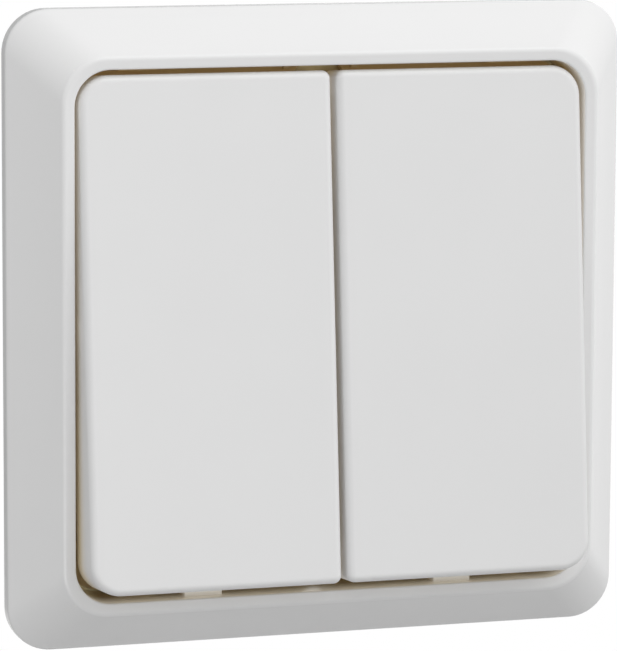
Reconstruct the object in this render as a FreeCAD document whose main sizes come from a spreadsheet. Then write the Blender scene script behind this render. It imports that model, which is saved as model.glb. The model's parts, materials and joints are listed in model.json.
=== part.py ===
import FreeCAD, Part
import Sketcher
import os
import re

# Two-gang push button light switch for a wall box.
# X runs to the right, Z up and Y into the wall. The wall is the plane Y = 0,
# and the origin is the middle of the switch on that plane. All sizes are in mm.

doc = FreeCAD.newDocument("push_button_switch")
sheet = doc.addObject("Spreadsheet::Sheet", "Sizes")

# Sizes that can be set by themselves
DIMENSIONS = [
    ("frame_size", 80, "outside of the cover frame, both ways"),
    ("frame_corner", 5.5, "radius of the frame's outer corners"),
    ("edge_height", 2.0, "upright edge of the frame above the wall"),
    ("edge_round", 0.65, "rounding between the frame's edge and its slope"),
    ("crest_inset", 5.5, "how far the slope leans in from the outside to the crest"),
    ("crest_height", 9.25, "crest of the frame above the wall"),
    ("crest_corner", 5.8, "radius of the crest's corners"),
    ("crest_round", 0.7, "rounding along the crest"),
    ("slope_sag", 0.22, "how hollow the slope is, halfway up"),
    ("lip_width", 1.5, "slope that falls from the crest to the opening"),
    ("lip_drop", 0.35, "how far that slope falls"),
    ("lip_round", 0.25, "rounding of the opening's front edge"),
    ("opening_corner", 4.5, "radius of the opening's corners"),
    ("shell_wall", 1.6, "wall of the cover frame"),
    ("opening_wall", 1.5, "wall round the opening"),
    ("bottom_lug_x", 16.35, "place of the two lugs under the buttons"),
    ("bottom_lug_width", 4.9, "width of those lugs"),
    ("bottom_lug_reach", 0.7, "how far they stand out of the opening's wall"),
    ("lug_front", 7.6, "front of the lugs above the wall"),
    ("lug_length", 4.4, "length of the lugs along the depth"),
    ("side_lug_height", 2.8, "height of the lug at each side"),
    ("side_lug_rise", 1.1, "middle of the side lugs above the hinge"),
    ("side_lug_reach", 0.26, "how far the side lugs stand out"),
    ("top_rib_x", 4.4, "place of the two stops over the buttons, which lie on the bearing plate"),
    ("top_rib_width", 0.75, "width of those stops"),
    ("top_rib_reach", 0.9, "how far the stops stand out"),
    ("top_rib_length", 1.0, "length of the stops along the depth"),
    ("button_gap", 0.8, "slit between the two buttons"),
    ("button_side_gap", 0.6, "gap between a button's long side and the opening"),
    ("button_end_gap", 1.2, "mean gap between a button's ends and the opening"),
    ("button_rise", 0.15, "middle of a button above its hinge axis"),
    ("face_offset", 5.85, "hinge axis to the button's face"),
    ("face_wall", 1.8, "thickness of the button's face"),
    ("button_wall", 1.6, "wall of the button's skirt"),
    ("button_round", 0.9, "rounding round the face"),
    ("outer_corner", 3.8, "radius of the button's corners beside the frame"),
    ("inner_corner", 1.0, "radius of the button's corners at the slit"),
    ("skirt_top", 0.3, "skirt behind the hinge axis at the upper end"),
    ("skirt_bottom", 1.4, "skirt behind the hinge axis at the lower end"),
    ("hinge_depth", 6.0, "hinge axis above the wall"),
    ("rest_tilt", 5.5, "degrees that a button leans at rest, its lower end out"),
    ("axle_radius", 1.5, "axle stubs of the actuator"),
    ("running_gap", 0.05, "gap all round a part that turns or slides in a bore"),
    ("bar_start", 5.2, "inner end of the actuator's bar, from the middle"),
    ("bar_inset", 8.7, "outer end of that bar inside the button's outer side"),
    ("bar_height", 9.0, "height of the bar"),
    ("bar_depth", 3.0, "depth of the bar"),
    ("end_gap", 0.3, "gap between a moving part and the post beside it"),
    ("post_width", 2.4, "width of a bearing post"),
    ("post_height", 6.0, "height of a bearing post"),
    ("post_cover", 2.3, "post in front of the hinge axis"),
    ("snap_slot", 2.4, "mouth through which an axle stub snaps in"),
    ("clip_x", 16.0, "middle of the button's clips, from the middle"),
    ("clip_width", 5.0, "width of a clip"),
    ("clip_wall", 1.3, "thickness of a clip"),
    ("clip_gap", 0.1, "gap between a clip and the bar"),
    ("clip_hook", 0.6, "how far a clip's hook reaches behind the bar"),
    ("clip_hook_depth", 0.9, "depth of the hook"),
    ("seat_rib", 1.2, "ribs of the button that stand on the bar"),
    ("seat_rib_inset", 2.2, "those ribs from the ends of the bar"),
    ("seat_rib_length", 7.0, "length of those ribs"),
    ("plunger_x", 10.5, "plunger from the middle"),
    ("plunger_arm", 10.0, "plunger below the hinge axis"),
    ("arm_width", 4.0, "width of the arm that presses the plunger"),
    ("arm_depth", 2.4, "depth of that arm"),
    ("nose_radius", 1.3, "rounded nose at the arm's end"),
    ("nose_reach", 2.4, "tip of the nose behind the hinge axis"),
    ("nose_gap", 0.2, "gap between the nose and the plunger at rest"),
    ("plunger_radius", 2.5, "shank of the plunger"),
    ("plunger_flange", 3.6, "radius of the plunger's flange"),
    ("flange_depth", 1.0, "depth of the flange"),
    ("stem_radius", 1.4, "stem behind the flange, inside the spring"),
    ("stem_length", 2.6, "length of that stem"),
    ("guide_wall", 1.3, "wall of the plunger's guide"),
    ("guide_end", 4.0, "back end of the guide behind the wall plane"),
    ("plate_gap", 0.5, "gap between the bearing plate and the opening"),
    ("plate_thickness", 1.2, "thickness of the bearing plate"),
    ("plate_corner", 3.9, "corner radius of the bearing plate"),
    ("screw_window", 3.6, "radius of the plate's windows over the box screws"),
    ("tongue_margin", 8.5, "tongues that hold the frame, from the plate's edge"),
    ("tongue_width", 5.0, "width of a tongue"),
    ("tongue_thickness", 1.1, "thickness of a tongue"),
    ("tongue_inset", 0.5, "tongue's inner face inside the opening"),
    ("hook_front", 4.9, "tip of a tongue above the wall"),
    ("hook_height", 1.5, "hook of a tongue along the depth"),
    ("hook_reach", 0.6, "how far the hook stands out"),
    ("notch_gap", 0.3, "room round a tongue in the frame"),
    ("ring_inset", 4.25, "edge of the support ring inside the frame's outside"),
    ("ring_thickness", 1.0, "sheet of the support ring"),
    ("ring_corner", 4.0, "corner radius of the support ring"),
    ("ring_window_width", 39.0, "window of the ring, across"),
    ("ring_window_height", 29.0, "window of the ring, upright"),
    ("ring_window_corner", 3.0, "corner radius of that window"),
    ("ring_tab_length", 24.0, "folded tab at each side of the ring"),
    ("ring_tab_height", 2.0, "how far the tab stands up"),
    ("screw_margin", 5.75, "box screws from the ring's edge, which makes them 60 mm apart"),
    ("screw_hole", 1.65, "radius of the box screws' holes"),
    ("side_slot_length", 10.0, "slot at each side of the ring"),
    ("base_width", 43.0, "switch body behind the wall, across"),
    ("base_height", 41.0, "switch body, upright"),
    ("base_depth", 24.0, "switch body, behind the wall plane"),
    ("base_corner", 6.0, "corner radius of the switch body"),
    ("base_wall", 2.0, "wall and floor of the switch body"),
    ("base_round", 1.0, "rounding round the back of the switch body"),
    ("base_flange", 1.1, "flange of the switch body under the ring, how far it stands out"),
    ("base_flange_depth", 2.4, "depth of that flange"),
    ("gauge_length", 10.0, "stripping gauge in the back, a groove as long as the bared wire"),
    ("gauge_width", 1.2, "width of the stripping gauge"),
    ("gauge_depth", 0.5, "depth of the stripping gauge"),
    ("gauge_z", 8.0, "stripping gauge below the middle"),
    ("boss_x", 15.0, "fixing screws from the middle, across"),
    ("boss_z", 17.0, "fixing screws from the middle, upright"),
    ("boss_radius", 3.0, "bosses for the fixing screws"),
    ("fixing_radius", 1.25, "shank of a fixing screw"),
    ("fixing_length", 9.0, "shank below the head"),
    ("fixing_head", 2.3, "radius of a fixing screw's head"),
    ("fixing_head_depth", 1.3, "height of that head"),
    ("recess_width", 0.6, "arm of the cross recess"),
    ("recess_length", 2.6, "length of the cross recess"),
    ("recess_depth", 0.7, "depth of the cross recess"),
    ("bridge_length", 14.6, "contact bridge, end to end"),
    ("bridge_height", 4.0, "contact bridge, upright"),
    ("bridge_thickness", 0.5, "contact bridge, thickness"),
    ("contact_spread", 5.5, "contacts from the plunger's axis"),
    ("contact_radius", 1.4, "radius of a contact"),
    ("contact_height", 0.7, "height of a contact"),
    ("contact_gap", 1.8, "open gap between the contacts"),
    ("strip_thickness", 0.8, "brass strip of the terminals"),
    ("strip_top", 9.0, "top of the terminal strips above the middle"),
    ("shelf_top", 1.0, "top of the shelf that the wires lie on"),
    ("shelf_room", 1.4, "back end of that shelf from the floor of the body"),
    ("cage_back", 13.0, "back end of the strip over the clamp spring"),
    ("terminal_x", 14.5, "side terminals from the middle"),
    ("terminal_width", 7.4, "width of a terminal's cage"),
    ("strip_width", 4.2, "width of the strip between contact and cage"),
    ("entry_radius", 1.6, "radius of a wire entry"),
    ("entry_pitch", 3.8, "from one wire entry of a terminal to the other"),
    ("entry_z", 2.9, "wire entries above the middle"),
    ("funnel_depth", 0.8, "funnel at the mouth of a wire entry"),
    ("cover_margin", 0.9, "edge of a terminal's cover outside its entries and its window"),
    ("cover_thickness", 1.4, "thickness of a terminal's cover"),
    ("cover_ledge", 0.6, "ledge of the switch body that a cover lies on"),
    ("leaf_thickness", 0.4, "sheet of the clamp springs"),
    ("leaf_width", 6.4, "width of a clamp spring"),
    ("leaf_room", 2.8, "back bend of a clamp spring from the floor of the body"),
    ("leaf_reach", 4.4, "tip of a clamp spring behind the brass strip"),
    ("leaf_gap", 0.3, "gap between the clamp spring's tip and the shelf"),
    ("release_width", 4.6, "width of a release button"),
    ("release_height", 2.0, "height of a release button"),
    ("release_z", 6.1, "release buttons above the middle"),
    ("release_proud", 1.3, "release button behind the switch body"),
    ("release_gap", 0.15, "gap round a release button"),
    ("collar_reach", 0.8, "collar of a release button, how far it stands out"),
    ("collar_depth", 0.9, "collar of a release button, depth"),
    ("spring_post_radius", 3.0, "posts that carry the return springs"),
    ("spring_length", 8.2, "return spring at rest"),
    ("spring_radius", 2.1, "return spring, middle of its wire"),
    ("spring_wire", 0.45, "wire of the return spring"),
    ("spring_turns", 6.5, "turns of the return spring"),
    ("spigot_length", 1.6, "spigot inside the spring's back end"),
    ("rib_width", 2.0, "ribs of the switch body behind the strips"),
]

# Sizes that follow from others
DERIVED = [
    ("crest_size", "frame_size - 2 * crest_inset"),
    ("opening", "crest_size - 2 * lip_width"),
    ("lip_height", "crest_height - lip_drop"),
    ("mid_height", "(edge_height + crest_height) / 2"),
    ("mid_size", "frame_size - crest_inset - 2 * slope_sag"),
    ("button_width", "(opening - button_gap) / 2 - button_side_gap"),
    ("button_length", "opening - 2 * button_end_gap"),
    ("button_middle", "(button_gap + button_width) / 2"),
    ("half_button", "button_length / 2"),
    ("inside_face", "face_offset - face_wall"),
    ("bar_end", "button_gap / 2 + button_width - bar_inset"),
    ("plate_size", "opening - 2 * plate_gap"),
    ("tongue_x", "plate_size / 2 - tongue_margin"),
    ("ring_size", "frame_size - 2 * ring_inset"),
    ("screw_spacing", "ring_size - 2 * screw_margin"),
    ("plate_front", "ring_thickness + plate_thickness"),
    ("nose_tip", "hinge_depth - (nose_reach - nose_radius) * cos(rest_tilt * 1deg)"
                 " + plunger_arm * sin(rest_tilt * 1deg) - nose_radius"),
    ("flange_y", "guide_end + end_gap"),
    ("bridge_y", "flange_y + flange_depth"),
    ("spring_y", "bridge_y + bridge_thickness"),
    ("strip_y", "spring_y + 2 * contact_height + contact_gap"),
    ("post_y", "spring_y + spring_length"),
    ("floor_y", "base_depth - base_wall"),
    ("cover_y", "base_depth - cover_thickness"),
    ("shelf_back", "floor_y - shelf_room"),
    ("leaf_bend_y", "floor_y - leaf_room"),
    ("leaf_tip_y", "strip_y + strip_thickness + leaf_reach"),
    ("inner_contact_x", "plunger_x - contact_spread"),
    ("outer_contact_x", "plunger_x + contact_spread"),
    ("shelf_bottom", "shelf_top - strip_thickness"),
    ("strip_foot", "plunger_arm + bridge_height / 2"),
    ("leaf_roof", "strip_top - strip_thickness - leaf_thickness / 2"),
    ("leaf_foot", "shelf_top + leaf_gap + leaf_thickness / 2"),
    ("release_top", "release_z + release_height / 2"),
    ("release_start", "leaf_bend_y - (leaf_bend_y - leaf_tip_y) * (leaf_roof - release_top)"
                      " / (leaf_roof - leaf_foot) + leaf_thickness + end_gap"),
]

for row, (name, size, meaning) in enumerate(DIMENSIONS, 1):
    sheet.set(f"A{row}", meaning)
    sheet.set(f"B{row}", str(size))
    sheet.setAlias(f"B{row}", name)
doc.recompute()
for row, (name, formula) in enumerate(DERIVED, len(DIMENSIONS) + 2):
    sheet.set(f"B{row}", "=" + formula)
    sheet.setAlias(f"B{row}", name)
    doc.recompute()

NAMES = {name for name, *_ in DIMENSIONS + DERIVED}
desk = doc.addObject("Spreadsheet::Sheet", "Desk")
nodes = []


def over_sheet(formula):
    """The formula with each of the sheet's names written as a reference to it."""
    return re.sub(r"[A-Za-z_]+", lambda w: "Sizes." + w[0] if w[0] in NAMES else w[0], formula)


def number(formula):
    """The value of a formula over the sheet's names, worked out in a cell of its own."""
    desk.set("A1", "=" + over_sheet(formula))
    desk.recompute()
    return float(desk.get("A1"))


def bind(thing, name, formula):
    """Tie one property of a document object to a formula over the sheet."""
    thing.setExpression(name, over_sheet(formula))


def across(side, low, high):
    """A stretch along X, mirrored for the left side."""
    return (low, high) if side > 0 else (f"-({high})", f"-({low})")


def signed(side, formula):
    return formula if side > 0 else f"-({formula})"


def block(name, x, y, z):
    """A box from one formula to another each way."""
    piece = doc.addObject("Part::Box", name)
    for (low, high), length, way in zip((x, y, z), ("Length", "Width", "Height"), "xyz"):
        bind(piece, length, f"({high}) - ({low})")
        bind(piece, "Placement.Base." + way, low)
    return piece


def rod_along_y(name, radius, x, z, start, end):
    """A cylinder along Y from start to end."""
    piece = doc.addObject("Part::Cylinder", name)
    piece.Placement.Rotation = FreeCAD.Rotation(FreeCAD.Vector(1, 0, 0), -90)
    bind(piece, "Radius", radius)
    bind(piece, "Height", f"({end}) - ({start})")
    for way, place in zip("xyz", (x, start, z)):
        bind(piece, "Placement.Base." + way, place)
    return piece


def rod_along_x(name, radius, x, y, z):
    """A cylinder along X between the two formulas of x."""
    piece = doc.addObject("Part::Cylinder", name)
    piece.Placement.Rotation = FreeCAD.Rotation(FreeCAD.Vector(0, 1, 0), 90)
    bind(piece, "Radius", radius)
    bind(piece, "Height", f"({x[1]}) - ({x[0]})")
    for way, place in zip("xyz", (x[0], y, z)):
        bind(piece, "Placement.Base." + way, place)
    return piece


def join(name, pieces):
    """All pieces made one solid."""
    whole = doc.addObject("Part::MultiFuse", name)
    whole.Shapes = pieces
    whole.Refine = True
    return whole


def carve(name, piece, tools):
    """The piece with every tool cut out of it."""
    cut = doc.addObject("Part::Cut", name)
    cut.Base = piece
    cut.Tool = tools[0] if len(tools) == 1 else join(name + "_tools", tools)
    cut.Refine = True
    return cut


def node(label, piece):
    """Name a finished sub-part."""
    piece.Label = label
    nodes.append(piece)
    return piece


def plane(body, role):
    return next(p for p in body.Origin.OriginFeatures if p.Role == role)


def upright_sketch(body, name, depth):
    """A sketch facing the viewer, this far in front of the body's own XZ plane."""
    sketch = body.newObject("Sketcher::SketchObject", name)
    sketch.AttachmentSupport = [(plane(body, "XZ_Plane"), "")]
    sketch.MapMode = "FlatFace"
    bind(sketch, "AttachmentOffset.Base.z", depth)
    return sketch


def rounded_outline(sketch, x, z, corners):
    """A rectangle between the formulas of x and of z, with a radius formula for each corner.

    The corners go round from the lower left: lower left, lower right, upper right, upper left.
    """
    left, right = number(x[0]), number(x[1])
    low, high = number(z[0]), number(z[1])
    radii = [number(corner) for corner in corners]
    spots = [(left, low, 1, 1), (right, low, -1, 1), (right, high, -1, -1), (left, high, 1, -1)]
    flat = FreeCAD.Vector(0, 0, 1)
    arcs = []
    for turn, ((px, pz, inx, inz), radius) in enumerate(zip(spots, radii)):
        centre = FreeCAD.Vector(px + inx * radius, pz + inz * radius, 0)
        circle = Part.Circle(centre, flat, radius)
        start = number(f"{180 + 90 * turn} * pi / 180")
        arcs.append(sketch.addGeometry(Part.ArcOfCircle(circle, start, start + number("pi / 2"))))
    lines = []
    for turn in range(4):
        begin = sketch.getPoint(arcs[turn], 2)
        end = sketch.getPoint(arcs[(turn + 1) % 4], 1)
        lines.append(sketch.addGeometry(Part.LineSegment(begin, end)))
    link = Sketcher.Constraint
    for turn in range(4):
        sketch.addConstraint(link("Tangent", arcs[turn], 2, lines[turn], 1))
        sketch.addConstraint(link("Tangent", lines[turn], 2, arcs[(turn + 1) % 4], 1))
    for turn, way in enumerate(("Horizontal", "Vertical", "Horizontal", "Vertical")):
        sketch.addConstraint(link(way, lines[turn]))
    for turn, corner in enumerate(corners):
        spot = sketch.addConstraint(link("Radius", arcs[turn], radii[turn]))
        bind(sketch, f"Constraints[{spot}]", corner)
    for way, line, place, formula in (
        ("DistanceY", lines[0], low, z[0]),
        ("DistanceX", lines[1], right, x[1]),
        ("DistanceY", lines[2], high, z[1]),
        ("DistanceX", lines[3], left, x[0]),
    ):
        spot = sketch.addConstraint(link(way, -1, 1, line, 1, place))
        bind(sketch, f"Constraints[{spot}]", formula)
    return sketch


def centred_outline(body, name, depth, width, height, corner):
    """A rounded rectangle about the middle, this far in front of the XZ plane."""
    sketch = upright_sketch(body, name, depth)
    x = (f"-({width}) / 2", f"({width}) / 2")
    z = (f"-({height}) / 2", f"({height}) / 2")
    return rounded_outline(sketch, x, z, [corner] * 4)


def pad(body, name, sketch, length, backwards=False):
    feature = body.newObject("PartDesign::Pad", name)
    feature.Profile = sketch
    feature.Reversed = backwards
    bind(feature, "Length", length)
    return feature


def pocket(body, name, sketch, length, forwards=False):
    """Cut to the back, or forwards, towards the viewer."""
    feature = body.newObject("PartDesign::Pocket", name)
    feature.Profile = sketch
    feature.Reversed = forwards
    bind(feature, "Length", length)
    return feature


def loft(body, name, kind, sketches):
    feature = body.newObject(kind, name)
    feature.Profile = sketches[0]
    feature.Sections = sketches[1:]
    feature.Ruled = False
    return feature


def edges_at_depth(shape, depth, half=None):
    """Names of the edges at this depth, of one square about the middle if its half is given."""
    names = []
    near = 1e-3
    for count, edge in enumerate(shape.Edges, 1):
        box = edge.BoundBox
        reach = max(abs(box.XMin), abs(box.XMax), abs(box.ZMin), abs(box.ZMax))
        level = abs(box.YMin + depth) < near and abs(box.YMax + depth) < near
        if level and (half is None or abs(reach - half) < near):
            names.append(f"Edge{count}")
    return names


def fillet(body, name, feature, edges, radius):
    rounding = body.newObject("PartDesign::Fillet", name)
    rounding.Base = (feature, edges)
    bind(rounding, "Radius", radius)
    return rounding


# Cover frame: a hollow-backed square with steep slopes, a crest and a lip round the opening
def make_cover_frame():
    body = doc.addObject("PartDesign::Body", "FrameShell")
    foot = centred_outline(body, "FrameFoot", "0", "frame_size", "frame_size", "frame_corner")
    edge = pad(body, "FrameEdge", foot, "edge_height")
    steps = [
        ("edge_height", "frame_size", "frame_corner"),
        ("mid_height", "mid_size", "(frame_corner + crest_corner) / 2"),
        ("crest_height", "crest_size", "crest_corner"),
    ]
    rings = [
        centred_outline(body, f"SlopeRing{i}", depth, size, size, corner)
        for i, (depth, size, corner) in enumerate(steps)
    ]
    loft(body, "FrameSlope", "PartDesign::AdditiveLoft", rings)
    # The back is hollow: upright as high as the edge, then leaning in under the slope
    hollow = "frame_size - 2 * shell_wall"
    corner = "frame_corner - shell_wall"
    upright = "edge_height - shell_wall / 2"
    back = centred_outline(body, "HollowFoot", "0", hollow, hollow, corner)
    pocket(body, "HollowEdge", back, upright, forwards=True)
    low = centred_outline(body, "HollowLow", upright, hollow, hollow, corner)
    narrow = "opening + opening_wall"
    high = centred_outline(
        body, "HollowHigh", "crest_height - shell_wall - lip_drop", narrow, narrow, "opening_corner"
    )
    loft(body, "HollowSlope", "PartDesign::SubtractiveLoft", [low, high])
    # The wall round the opening stands on the support ring
    wall = "opening + 2 * opening_wall"
    rim = centred_outline(
        body, "OpeningRim", "ring_thickness", wall, wall, "opening_corner + opening_wall"
    )
    pad(body, "OpeningWall", rim, "lip_height - lip_drop - ring_thickness")
    crest = centred_outline(
        body, "LipCrest", "crest_height", "crest_size", "crest_size", "crest_corner"
    )
    mouth = centred_outline(
        body, "LipMouth", "lip_height", "opening", "opening", "opening_corner"
    )
    loft(body, "Lip", "PartDesign::SubtractiveLoft", [crest, mouth])
    hole = centred_outline(body, "Mouth", "crest_height", "opening", "opening", "opening_corner")
    through = pocket(body, "MouthHole", hole, "crest_height")
    doc.recompute()
    rounded = through
    for word, depth, size, radius in (
        ("Crest", "crest_height", "crest_size", "crest_round"),
        ("Edge", "edge_height", "frame_size", "edge_round"),
        ("Lip", "lip_height", "opening", "lip_round"),
    ):
        edges = edges_at_depth(rounded.Shape, number(depth), number(size) / 2)
        rounded = fillet(body, word + "Rounding", rounded, edges, radius)
        doc.recompute()

    # Lugs and stops inside the opening
    extras = []
    lug_y = ("-lug_front", "-lug_front + lug_length")
    root = "opening / 2 + opening_wall / 2"
    for side in (-1, 1):
        name = "Left" if side < 0 else "Right"
        x = across(side, "bottom_lug_x - bottom_lug_width / 2", "bottom_lug_x + bottom_lug_width / 2")
        z = (f"-({root})", "-(opening / 2) + bottom_lug_reach")
        extras.append(block(f"BottomLug{name}", x, lug_y, z))
        x = across(side, "opening / 2 - side_lug_reach", root)
        z = ("side_lug_rise - side_lug_height / 2", "side_lug_rise + side_lug_height / 2")
        extras.append(block(f"SideLug{name}", x, lug_y, z))
        x = across(side, "top_rib_x - top_rib_width / 2", "top_rib_x + top_rib_width / 2")
        y = ("-(plate_front + top_rib_length)", "-plate_front")
        extras.append(block(f"TopRib{name}", x, y, ("opening / 2 - top_rib_reach", root)))
    whole = join("FrameWithLugs", [body] + extras)

    # Grooves and windows that the bearing plate's tongues snap into
    cuts = []
    for side in (-1, 1):
        for end in (-1, 1):
            name = ("Left" if side < 0 else "Right") + ("Low" if end < 0 else "High")
            half = "(tongue_width / 2 + notch_gap)"
            x = across(side, f"tongue_x - {half}", f"tongue_x + {half}")
            groove = across(end, "opening / 2 - notch_gap",
                            "opening / 2 - tongue_inset + tongue_thickness + notch_gap / 2")
            y = ("-(hook_front - hook_height)", "-(ring_thickness - notch_gap)")
            cuts.append(block(f"Groove{name}", x, y, groove))
            window = across(end, "opening / 2 - notch_gap", "opening / 2 + opening_wall + notch_gap")
            y = ("-(hook_front + notch_gap)", "-(hook_front - hook_height - notch_gap / 3)")
            cuts.append(block(f"Window{name}", x, y, window))
    node("cover_frame", carve("CoverFrame", whole, cuts))


# Buttons: shells that rock on the hinge axis, clipped to an actuator behind the face
def tilted(piece):
    """Put a piece drawn about the hinge axis at its resting place."""
    piece.Placement.Rotation = FreeCAD.Rotation(FreeCAD.Vector(-1, 0, 0), 5)
    bind(piece, "Placement.Rotation.Angle", "rest_tilt * 1deg")
    bind(piece, "Placement.Base.y", "-hinge_depth")


def make_rocker(side, name):
    body = doc.addObject("PartDesign::Body", f"Button{name}Shell")
    near, far = "button_gap / 2", "button_gap / 2 + button_width"
    z = ("-half_button + button_rise", "half_button + button_rise")
    corners = ["inner_corner", "outer_corner", "outer_corner", "inner_corner"]
    if side < 0:
        corners = ["outer_corner", "inner_corner", "inner_corner", "outer_corner"]
    back = upright_sketch(body, f"Button{name}Back", "-skirt_bottom")
    rounded_outline(back, across(side, near, far), z, corners)
    solid = pad(body, f"Button{name}Pad", back, "face_offset + skirt_bottom")
    doc.recompute()
    face_edges = edges_at_depth(solid.Shape, number("face_offset"))
    rounded = fillet(body, f"Button{name}Round", solid, face_edges, "button_round")
    hollow = upright_sketch(body, f"Button{name}Hollow", "-skirt_bottom")
    inside = [f"max({corner} - button_wall; 0.4)" for corner in corners]
    rounded_outline(
        hollow,
        across(side, f"{near} + button_wall", f"{far} - button_wall"),
        (z[0] + " + button_wall", z[1] + " - button_wall"),
        inside,
    )
    pocket(body, f"Button{name}Pocket", hollow, "inside_face + skirt_bottom", forwards=True)
    doc.recompute()

    # The skirt is deeper at the lower end: its back edge is a straight slant
    slant = doc.addObject("Part::Box", f"Button{name}Slant")
    bind(slant, "Length", "2 * button_width")
    bind(slant, "Width", "2 * skirt_bottom")
    bind(slant, "Height", "2 * button_length")
    bind(slant, "Placement.Base.x", signed(side, "button_middle") + " - button_width")
    lean = "atan((skirt_bottom - skirt_top) / button_length)"
    slant.Placement.Rotation = FreeCAD.Rotation(FreeCAD.Vector(1, 0, 0), 1)
    bind(slant, "Placement.Rotation.Angle", lean)
    bind(slant, "Placement.Base.y", f"(skirt_top + skirt_bottom) / 2 + button_length * sin({lean})")
    bind(slant, "Placement.Base.z", f"-button_length * cos({lean})")
    shell = carve(f"Button{name}Skirt", body, [slant])

    extras = []
    face = "-(inside_face + face_wall / 2)"
    x = across(side, "clip_x - clip_width / 2", "clip_x + clip_width / 2")
    foot = "bar_depth / 2 + clip_gap + clip_hook_depth"
    for end in (-1, 1):
        word = "Low" if end < 0 else "High"
        leg = across(end, "bar_height / 2 + clip_gap", "bar_height / 2 + clip_gap + clip_wall")
        extras.append(block(f"Button{name}Clip{word}", x, (face, foot), leg))
        hook = across(end, "bar_height / 2 - clip_hook", "bar_height / 2 + clip_gap + clip_wall")
        extras.append(block(f"Button{name}Hook{word}", x, ("bar_depth / 2 + clip_gap", foot), hook))
    for place, word in (("bar_start + seat_rib_inset", "In"), ("bar_end - seat_rib_inset", "Out")):
        x = across(side, f"{place} - seat_rib / 2", f"{place} + seat_rib / 2")
        z = ("-seat_rib_length / 2", "seat_rib_length / 2")
        extras.append(block(f"Button{name}Rib{word}", x, (face, "-bar_depth / 2"), z))
    rocker = join(f"Button{name}", [shell] + extras)
    tilted(rocker)
    node(f"rocker_{name.lower()}", rocker)


# Actuators: bars with axle stubs, which carry the buttons and press the plungers
def make_actuator(side, name):
    pieces = [
        block(
            f"Bar{name}",
            across(side, "bar_start", "bar_end"),
            ("-bar_depth / 2", "bar_depth / 2"),
            ("-bar_height / 2", "bar_height / 2"),
        )
    ]
    x = across(side, "bar_start - end_gap - post_width", "bar_end + end_gap + post_width")
    pieces.append(rod_along_x(f"Axle{name}", "axle_radius", x, "0", "0"))
    x = across(side, "plunger_x - arm_width / 2", "plunger_x + arm_width / 2")
    z = ("-(plunger_arm + nose_radius)", "0")
    pieces.append(block(f"Arm{name}", x, ("-arm_depth / 2", "nose_reach - nose_radius"), z))
    pieces.append(
        rod_along_x(f"Nose{name}", "nose_radius", x, "nose_reach - nose_radius", "-plunger_arm")
    )
    actuator = join(f"Actuator{name}", pieces)
    tilted(actuator)
    node(f"actuator_{name.lower()}", actuator)


# Bearing plate: lies on the support ring, bears both actuators and guides both plungers
def make_bearing_plate():
    body = doc.addObject("PartDesign::Body", "PlateSheet")
    outline = centred_outline(
        body, "PlateOutline", "ring_thickness", "plate_size", "plate_size", "plate_corner"
    )
    pad(body, "PlatePad", outline, "plate_thickness")
    doc.recompute()
    pieces, cuts = [body], []
    front = "-(hinge_depth + post_cover)"
    back = "-ring_thickness"
    for side in (-1, 1):
        name = "Left" if side < 0 else "Right"
        stops = (
            ("In", "bar_start - end_gap - post_width", "bar_start - end_gap"),
            ("Out", "bar_end + end_gap", "bar_end + end_gap + post_width"),
        )
        for word, low, high in stops:
            x = across(side, low, high)
            z = ("-post_height / 2", "post_height / 2")
            pieces.append(block(f"Post{name}{word}", x, (front, back), z))
        x = across(side, "bar_start - end_gap - post_width - 1", "bar_end + end_gap + post_width + 1")
        bore = "axle_radius + running_gap"
        cuts.append(rod_along_x(f"PostBore{name}", bore, x, "-hinge_depth", "0"))
        z = ("-snap_slot / 2", "snap_slot / 2")
        cuts.append(block(f"SnapSlot{name}", x, (front + " - 1", "-hinge_depth"), z))
        place = signed(side, "plunger_x")
        guide = "plunger_radius + running_gap"
        pieces.append(
            rod_along_y(
                f"Guide{name}", guide + " + guide_wall", place, "-plunger_arm", back, "guide_end"
            )
        )
        cuts.append(
            rod_along_y(
                f"GuideBore{name}", guide, place, "-plunger_arm", "-plate_front - 1", "guide_end + 1"
            )
        )
        for end in (-1, 1):
            word = name + ("Low" if end < 0 else "High")
            x = across(side, "tongue_x - tongue_width / 2", "tongue_x + tongue_width / 2")
            inner = "opening / 2 - tongue_inset"
            z = across(end, inner, inner + " + tongue_thickness")
            pieces.append(block(f"Tongue{word}", x, ("-hook_front", back), z))
            z = across(end, "plate_size / 2 - tongue_thickness", inner + " + tongue_thickness")
            pieces.append(block(f"TongueRoot{word}", x, ("-plate_front", back), z))
            z = across(end, inner, inner + " + tongue_thickness + hook_reach")
            y = ("-hook_front", "-(hook_front - hook_height) - notch_gap / 3")
            pieces.append(block(f"TongueHook{word}", x, y, z))
            hole = "fixing_radius + running_gap"
            cuts.append(
                rod_along_y(
                    f"PlateHole{word}", hole, place.replace("plunger_x", "boss_x"),
                    signed(end, "boss_z"), "-plate_front - 1", "0",
                )
            )
    for end in (-1, 1):
        word = "Low" if end < 0 else "High"
        spot = signed(end, "screw_spacing / 2")
        cuts.append(rod_along_y(f"ScrewWindow{word}", "screw_window", "0", spot, "-plate_front - 1", "0"))
    node("bearing_plate", carve("BearingPlate", join("PlateWithPosts", pieces), cuts))


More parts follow.
